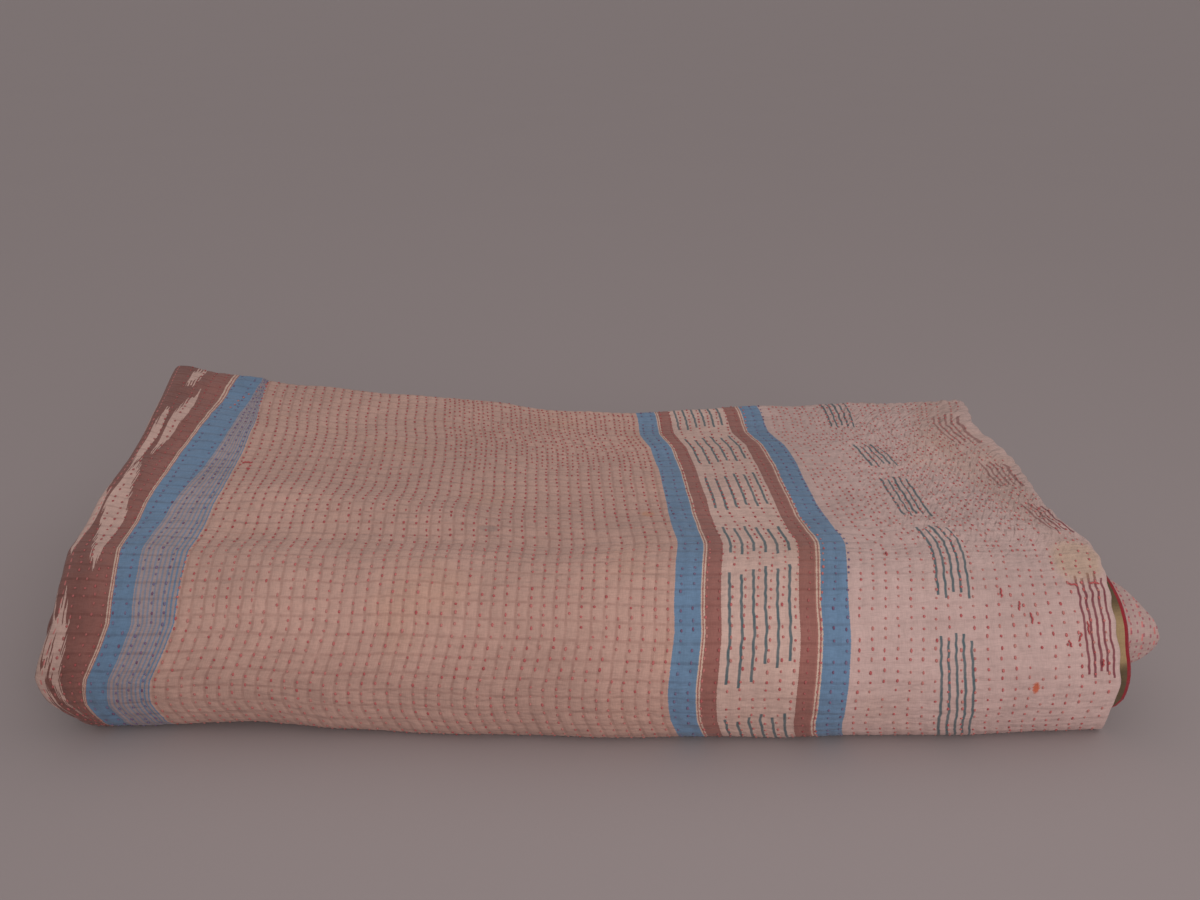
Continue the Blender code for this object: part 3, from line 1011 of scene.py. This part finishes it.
def fine_gathers(at):
    """Height of the fine gathers where the sewing is tightest."""
    slanted = add_node(at.tree, "ShaderNodeCombineXYZ", (
        (at.along * 0.55 + at.across) * 260.0, at.along * 70.0))
    tight = ease(at.across, 0.58, 0.68) * ease(at.along, 0.25, 0.34, 1.0, 0.0)
    return noise(slanted, 1.0, 1.0, "2D") * (tight * 0.0026)


def print_material(sizes, colors):
    """The printed and woven cotton on the quilt's face."""
    material, tree = new_material("kantha cotton")
    at = print_place(tree)
    color = weave_bands(at, colors)
    color = dye_flames(at, color, colors)
    color = weave_checks(at, color, sizes)
    color = work_dashes(at, color, colors)
    color = mark_stitches(at, color, colors)
    color = add_stains(at, color)
    finish_cotton(tree, at.cloth, color, gathers=fine_gathers(at))
    return material


def plain_material(name, color, strength, stops=()):
    """Plain cotton, made darker and lighter in broad streaks along it."""
    material, tree = new_material(name)
    cloth = add_node(tree, "ShaderNodeUVMap", uv_map=CLOTH_MAP)
    base = (*color, 1.0)
    if stops:
        wavy = noise(cloth, 40.0, 2.0, "2D") * 0.01 + split(cloth)[1]
        base = color_steps(wavy / STREAKED_TO, stops, "EASE")
    finish_cotton(tree, cloth, base, strength)
    return material


def thread_material(name, color, under):
    """Sewing cotton, each stitch faded by its own amount."""
    material, tree = new_material(name)
    own = add_node(tree, "ShaderNodeAttribute", output="Fac", attribute_name="thread_fade")
    faded = tuple(0.55 * value + 0.45 * cloth for value, cloth in zip(color, under))
    dark = scaled_color(color, (0.85, 0.62, 0.66))
    base = color_steps(own, ((0.0, dark), (0.25, color), (1.0, faded)), "LINEAR")
    twist = noise(add_node(tree, "ShaderNodeTexCoord", output="Object"), 1500.0, 1.0)
    base = toned(tree, base, ease(twist, 0.3, 0.7, 0.85, 1.1))
    add_shader(tree, base, bump(tree, twist, 0.0002, 0.5), roughness=0.75, sheen=0.1)
    return material


def scaled_color(color, factors):
    return tuple(value * factor for value, factor in zip(color, factors))


# ---- Stitches ----


def stitch_tree():
    """Rows of thread lying on cloth: one rice-grain stitch at each step along a line."""
    tree = bpy.data.node_groups.new("Running stitch", "GeometryNodeTree")
    for label, kind, way in (
        ("Rows", "Geometry", "INPUT"), ("Stitch Pitch", "Float", "INPUT"),
        ("Stitch Length", "Float", "INPUT"), ("Thread Width", "Float", "INPUT"),
        ("Seed", "Int", "INPUT"), ("Thread", "Material", "INPUT"),
        ("Stitches", "Geometry", "OUTPUT"),
    ):
        tree.interface.new_socket(label, in_out=way, socket_type="NodeSocket" + kind)
    given = tree.nodes.new("NodeGroupInput").outputs

    def chance(low, high, seed_step):
        is_vector = isinstance(low, tuple)
        first = 0 if is_vector else 2
        seed = maths(tree, "ADD", given["Seed"], seed_step)
        return add_node(
            tree, "FunctionNodeRandomValue", {first: low, first + 1: high, "Seed": seed},
            0 if is_vector else 1, data_type="FLOAT_VECTOR" if is_vector else "FLOAT")

    def attribute(name, kind):
        return add_node(tree, "GeometryNodeInputNamedAttribute", (name,), data_type=kind)

    def combine(operation, *vectors):
        return add_node(tree, "ShaderNodeVectorMath", vectors, operation=operation)

    def scaled(vector, amount):
        return add_node(tree, "ShaderNodeVectorMath", {0: vector, "Scale": amount},
                        operation="SCALE")

    lines = add_node(tree, "GeometryNodeMeshToCurve", (given["Rows"],))
    spaced = add_node(tree, "GeometryNodeResampleCurve",
                      {"Curve": lines, "Length": given["Stitch Pitch"]}, mode="LENGTH")
    tangent = add_node(tree, "GeometryNodeInputTangent")
    facing = attribute("facing", "FLOAT_VECTOR")
    slide = scaled(tangent, chance(-0.0012, 0.0012, 1))
    aside = scaled(combine("CROSS_PRODUCT", tangent, facing), chance(-0.0005, 0.0005, 2))
    placed = add_node(tree, "GeometryNodeSetPosition",
                      {"Geometry": spaced, "Offset": combine("ADD", slide, aside)})

    ball = add_node(tree, "GeometryNodeMeshUVSphere", {"Segments": 5, "Rings": 4, "Radius": 0.5},
                    "Mesh")
    thickness = maths(tree, "MULTIPLY", given["Thread Width"], 0.55)
    shape = add_node(tree, "ShaderNodeCombineXYZ",
                     (thickness, given["Thread Width"], given["Stitch Length"]))
    grain = add_node(tree, "GeometryNodeTransform", {"Geometry": ball, "Scale": shape})
    smooth = add_node(tree, "GeometryNodeSetShadeSmooth", (grain,))
    lengthwise = add_node(tree, "FunctionNodeAlignRotationToVector", {"Vector": tangent}, axis="Z")
    upright = add_node(tree, "FunctionNodeAlignRotationToVector",
                       {"Rotation": lengthwise, "Vector": facing}, axis="X", pivot_axis="Z")
    sown = add_node(tree, "GeometryNodeInstanceOnPoints", {
        "Points": placed, "Instance": smooth, "Rotation": upright,
        "Selection": chance(0.0, 1.0, 3) > attribute("missed", "FLOAT"),
        "Scale": chance((0.8, 0.75, 0.65), (1.1, 1.2, 1.25), 4),
    })
    stored = add_node(tree, "GeometryNodeStoreNamedAttribute", {
        "Geometry": sown, "Name": "thread_fade", "Value": chance(0.0, 1.0, 5),
    }, data_type="FLOAT", domain="INSTANCE")
    real = add_node(tree, "GeometryNodeRealizeInstances", (stored,))
    threaded = add_node(tree, "GeometryNodeSetMaterial",
                        {"Geometry": real, "Material": given["Thread"]})
    put_out(tree, Stitches=threaded)
    return tree


def settled(shown):
    """The mesh that an object shows once its own steps are worked out. The object goes."""
    graph = bpy.context.evaluated_depsgraph_get()
    mesh = bpy.data.meshes.new_from_object(
        shown.evaluated_get(graph), preserve_all_data_layers=True, depsgraph=graph)
    bpy.data.objects.remove(shown, do_unlink=True)
    return mesh


def sew(name, tree, lines, material, sizes, seed):
    """Stitches along lines, each a list of points, ways faced and shares missed."""
    mesh = bpy.data.meshes.new(name + " rows")
    edges, first = [], 0
    for line in lines:
        edges += [(n, n + 1) for n in range(first, first + len(line) - 1)]
        first += len(line)
    points, facing, missed = zip(*(spot for line in lines for spot in line))
    mesh.from_pydata([tuple(point) for point in points], edges, [])
    for label, kind, key, values in (
        ("facing", "FLOAT_VECTOR", "vector", facing), ("missed", "FLOAT", "value", missed),
    ):
        mesh.attributes.new(label, kind, "POINT").data.foreach_set(
            key, np.array(values, np.float32).ravel())
    rows = link(name + " rows", mesh)
    modifier = rows.modifiers.new("running stitch", "NODES")
    modifier.node_group = tree
    values = {"Stitch Pitch": sizes.stitch_pitch, "Stitch Length": sizes.stitch_length,
              "Thread Width": sizes.thread_width, "Seed": seed, "Thread": material}
    for item in tree.interface.items_tree:
        if item.item_type == "SOCKET" and item.in_out == "INPUT" and item.name in values:
            modifier[item.identifier] = values[item.name]
    made = settled(rows)
    if not made.polygons:
        raise RuntimeError(f"no stitches were sewn for {name}")
    made.name = name
    return finish_piece(link(name, made))


def thread_of(across):
    """The thread's look at a place across the cloth: it reads darker over the dark bands."""
    if across < 0.0395 or 0.478 < across < 0.489 or 0.5445 < across < 0.556:
        return "dark"
    if across < 0.0896 or 0.4555 < across < 0.4745 or 0.561 < across < 0.580:
        return "plum"
    return "red"


# ---- Operators ----


class KANTHA_OT_fold_quilt(bpy.types.Operator):
    """Makes the folded cloth as one closed sheet"""

    bl_idname = "kantha.fold_quilt"
    bl_label = "Fold quilt"

    def execute(self, context):
        sizes, colors = context.scene.quilt_sizes, context.scene.quilt_colors
        cloth = FoldedCloth(sizes)
        rows, columns = cloth.across.shape
        faces, finish = cloth_faces(rows, columns, int(np.searchsorted(cloth.along, EDGED_TO)))
        points = np.concatenate([g.reshape(-1, 3) for g in (cloth.face, cloth.lining, cloth.edge)])
        measures = np.stack(
            [cloth.across, np.broadcast_to(cloth.along[:, None], cloth.across.shape)], axis=-1)
        measures = np.tile(measures.reshape(-1, 2), (3, 1))
        used = np.unique(np.concatenate([np.array(f) for f in faces]))
        renumber = np.zeros(len(points), int)
        renumber[used] = np.arange(len(used))
        mesh = bpy.data.meshes.new("folded_quilt")
        mesh.from_pydata(points[used].tolist(), [],
                         [tuple(int(renumber[n]) for n in f) for f in faces])
        mesh.polygons.foreach_set("material_index", finish.astype(np.int32))
        mesh.polygons.foreach_set("use_smooth", np.ones(len(faces), bool))
        corners = np.empty(len(mesh.loops), np.int32)
        mesh.loops.foreach_get("vertex_index", corners)
        layer = mesh.uv_layers.new(name=CLOTH_MAP)
        layer.uv.foreach_set("vector", measures[used][corners].astype(np.float32).ravel())
        work = bmesh.new()
        work.from_mesh(mesh)
        bmesh.ops.recalc_face_normals(work, faces=work.faces)
        if any(len(e.link_faces) != 2 for e in work.edges):
            raise RuntimeError("the folded sheet isn't closed")
        if work.calc_volume(signed=True) < 0:
            bmesh.ops.reverse_faces(work, faces=work.faces)
        work.to_mesh(mesh)
        work.free()
        for name, make_group in SHARED_GROUPS.items():
            if name not in bpy.data.node_groups:
                make_group()
        lining = tuple(colors.lining)
        # the lining's own colour at 0.38 and 1.28 of its brightness, set in bands along the cloth
        # below
        darker_lining, lighter_lining = scaled_color(lining, [0.38] * 3), scaled_color(lining, [1.28] * 3)
        mesh.materials.append(print_material(sizes, colors))
        mesh.materials.append(plain_material(
            "olive lining", lining, 1.0,
            ((0.0, lining), (0.66, darker_lining), (0.71, darker_lining), (0.75, lighter_lining), (0.80, lighter_lining), (0.82, darker_lining))))
        mesh.materials.append(plain_material("red hem edge", tuple(colors.edging), 1.5))
        quilt = finish_piece(link("folded_quilt", mesh))
        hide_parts("quilt")
        return {"FINISHED"}


class KANTHA_OT_run_stitches(bpy.types.Operator):
    """Sews the rows of running stitch over the top and the front"""

    bl_idname = "kantha.run_stitches"
    bl_label = "Run stitches"

    def execute(self, context):
        sizes, colors = context.scene.quilt_sizes, context.scene.quilt_colors
        cloth = FoldedCloth(sizes)
        draws = np.random.default_rng(7)
        lines = {"red": [], "deep": [], "plum": [], "dark": []}
        lift = sizes.thread_width * LIFT
        last = FINE_ROWS - 2

        def row_line(column, start, end, missed):
            points = []
            for n in range(start, end):
                way = cloth.facing[n, column]
                rubbed = math.exp(-(((cloth.along[n] - RUBBED_AT) / RUBBED_WIDE) ** 2))
                points.append((cloth.face[n, column] + way * lift, way,
                               missed + RUBBED_MORE * rubbed))
            phase = draws.random()
            first, second = points[0], points[2]
            points[0] = (first[0] + (second[0] - first[0]) * phase, first[1], first[2])
            return points

        brow = int(np.searchsorted(cloth.along, DEEP_RED_TO))
        for column in range(ROW_COLUMNS, OUTER_COLUMNS, ROW_COLUMNS):
            across = OUTER_WIDTH * (1 - column / OUTER_COLUMNS)
            key = thread_of(across)
            if key == "red" and across < 0.55:
                lines["deep"].append(row_line(column, 0, brow + 1, 0.04))
                lines[key].append(row_line(column, brow, last, 0.08))
            else:
                lines[key].append(row_line(column, 0, last, 0.08))
        # Closer, patchier sewing towards the back: over the middle, and by the hem
        for column in range(ROW_COLUMNS // 2, OUTER_COLUMNS, ROW_COLUMNS):
            across = OUTER_WIDTH * (1 - column / OUTER_COLUMNS)
            if 0.27 < across < 0.45:
                lines["deep"].append(row_line(column, 1, 36 + int(draws.integers(14)), 0.22))
            elif across > 0.59:
                lines["red"].append(row_line(column, 1, 74 + int(draws.integers(18)), 0.50))
        # A seam that curves over the stripes at the back
        seam = []
        for t in np.linspace(0, 1, 20):
            across = 0.0500 + 0.0050 * t + 0.0320 * t ** 5
            point, way = cloth.on_face(across, 0.066 - 0.054 * t)
            seam.append((point + way * lift, way, 0.0))
        lines["red"].append(seam)
        tree = stitch_tree()
        thread = tuple(colors.thread)
        dark, deep = scaled_color(thread, DARKER), scaled_color(thread, DEEPER)
        for n, (key, name, color, under) in enumerate((
            ("red", "red_running_stitches", thread, colors.field),
            ("deep", "deep_red_running_stitches", deep, dark),
            ("plum", "plum_running_stitches", PLUM, colors.blue),
            ("dark", "dark_running_stitches", dark, colors.brown),
        )):
            material = thread_material(name.replace("_", " "), color, under)
            sew(name, tree, lines[key], material, sizes, 20 + n)
        return {"FINISHED"}


class KANTHA_OT_leave_thread_ends(bpy.types.Operator):
    """Leaves knots and loose ends of red thread by the hem"""

    bl_idname = "kantha.leave_thread_ends"
    bl_label = "Leave thread ends"

    def execute(self, context):
        sizes = context.scene.quilt_sizes
        cloth = FoldedCloth(sizes)
        draws = np.random.default_rng(3)
        curve = bpy.data.curves.new("thread ends", "CURVE")
        curve.dimensions = "3D"
        curve.bevel_depth = sizes.thread_width * 0.34
        curve.bevel_resolution = 1
        curve.use_fill_caps = True
        for end in THREAD_ENDS:
            cos, sin = math.cos(end.way), math.sin(end.way)
            spline = curve.splines.new("POLY")
            spline.points.add(END_POINTS - 1)
            for n, point in enumerate(spline.points):
                reach = end.length * (n / (END_POINTS - 1) - 0.5)
                bend = draws.uniform(-0.0006, 0.0006)
                place, facing = cloth.on_face(
                    end.across + reach * cos - bend * sin, end.along + reach * sin + bend * cos)
                rise = sizes.thread_width * (0.35 if 0 < n < END_POINTS - 1 else -0.2)
                point.co = (*(place + facing * rise), 1.0)
        mesh = settled(link("thread ends curve", curve))
        mesh.materials.clear()
        mesh.materials.append(bpy.data.materials["red running stitches"])
        mesh.polygons.foreach_set("use_smooth", np.ones(len(mesh.polygons), bool))
        mesh.name = "red_thread_ends"
        finish_piece(link("red_thread_ends", mesh))
        return {"FINISHED"}


class KANTHA_OT_set_stage(bpy.types.Operator):
    """Sets the pale floor, the soft light and the camera"""

    bl_idname = "kantha.set_stage"
    bl_label = "Set stage"

    def execute(self, context):
        stage = context.scene.stage_settings
        corners = ((-1, -1), (1, -1), (1, 1), (-1, 1))
        mesh = bpy.data.meshes.new("floor")
        mesh.from_pydata([(x * FLOOR_REACH, y * FLOOR_REACH, 0) for x, y in corners], [],
                         [(0, 1, 2, 3)])
        material, tree = new_material("pale floor paper")
        place = add_node(tree, "ShaderNodeTexCoord", output="Object")
        value = ease(noise(place, 2.5), 0.3, 0.7, 0.997, 1.003)
        shader = tree.nodes["Principled BSDF"]
        feed(tree, shader.inputs["Base Color"], toned(tree, (*stage.floor, 1.0), value))
        shader.inputs["Roughness"].default_value = 0.95
        shader.inputs["Specular IOR Level"].default_value = 0.1
        mesh.materials.append(material)
        link("floor", mesh)

        world = bpy.data.worlds.new("soft room")
        world.use_nodes = True
        background = world.node_tree.nodes["Background"]
        background.inputs["Color"].default_value = (1.0, 0.985, 0.985, 1.0)
        background.inputs["Strength"].default_value = stage.fill
        context.scene.world = world
        softbox = bpy.data.lights.new("front softbox", "AREA")
        softbox.energy, softbox.size = stage.key, SOFTBOX_SIZE
        softbox.spread = math.radians(SOFTBOX_SPREAD)
        overhead = bpy.data.lights.new("overhead softbox", "SUN")
        overhead.energy, overhead.angle = stage.top, math.radians(OVERHEAD_ANGLE)
        for lamp, place in ((softbox, SOFTBOX_AT), (overhead, OVERHEAD_AT)):
            lamp.color = (1.0, 0.985, 0.97)
            light = link(lamp.name, lamp)
            light.location = place
            aim = Vector(LAMPS_AIM) - Vector(place)
            light.rotation_euler = aim.to_track_quat("-Z", "Y").to_euler()

        lens = bpy.data.cameras.new("camera")
        lens.lens, lens.sensor_width = stage.lens, 36.0
        lens.dof.use_dof = False
        camera = link("camera", lens)
        camera.location = CAMERA_AT
        camera.rotation_euler = Euler(
            (math.radians(90 - CAMERA_DOWN), 0.0, math.radians(-CAMERA_RIGHT)))
        context.scene.camera = camera
        context.scene.view_settings.view_transform = "Standard"
        return {"FINISHED"}


class KANTHA_PT_quilt(bpy.types.Panel):
    """Makes the quilt piece by piece"""

    bl_label = "Kantha quilt"
    bl_space_type = "VIEW_3D"
    bl_region_type = "UI"
    bl_category = "Quilt"

    def draw(self, context):
        scene = context.scene
        for group in (scene.quilt_sizes, scene.quilt_colors, scene.stage_settings):
            box = self.layout.box()
            for name in group.bl_rna.properties.keys():
                if name not in ("rna_type", "name"):
                    box.prop(group, name)
        for maker in MAKERS:
            self.layout.operator(maker.bl_idname)


SHARED_GROUPS = {
    "Woven lines": make_line_group,
    "Stitch marks": make_stitch_group,
    "Plain weave": make_weave_group,
    "Drawn cloth": make_draw_group,
    "Washed cotton": make_wear_group,
}
MAKERS = (
    KANTHA_OT_fold_quilt, KANTHA_OT_run_stitches, KANTHA_OT_leave_thread_ends, KANTHA_OT_set_stage,
)
CLASSES = (QuiltSizes, QuiltColors, StageSettings, *MAKERS, KANTHA_PT_quilt)
SETTINGS = {
    "quilt_sizes": QuiltSizes, "quilt_colors": QuiltColors, "stage_settings": StageSettings,
}


def register():
    for kind in CLASSES:
        bpy.utils.register_class(kind)
    for name, kind in SETTINGS.items():
        setattr(bpy.types.Scene, name, bpy.props.PointerProperty(type=kind))


def unregister():
    for name in SETTINGS:
        delattr(bpy.types.Scene, name)
    for kind in reversed(CLASSES):
        bpy.utils.unregister_class(kind)


def main():
    register()
    bpy.ops.kantha.fold_quilt()
    bpy.ops.kantha.run_stitches()
    bpy.ops.kantha.leave_thread_ends()
    bpy.ops.kantha.set_stage()


if __name__ == "__main__":
    main()
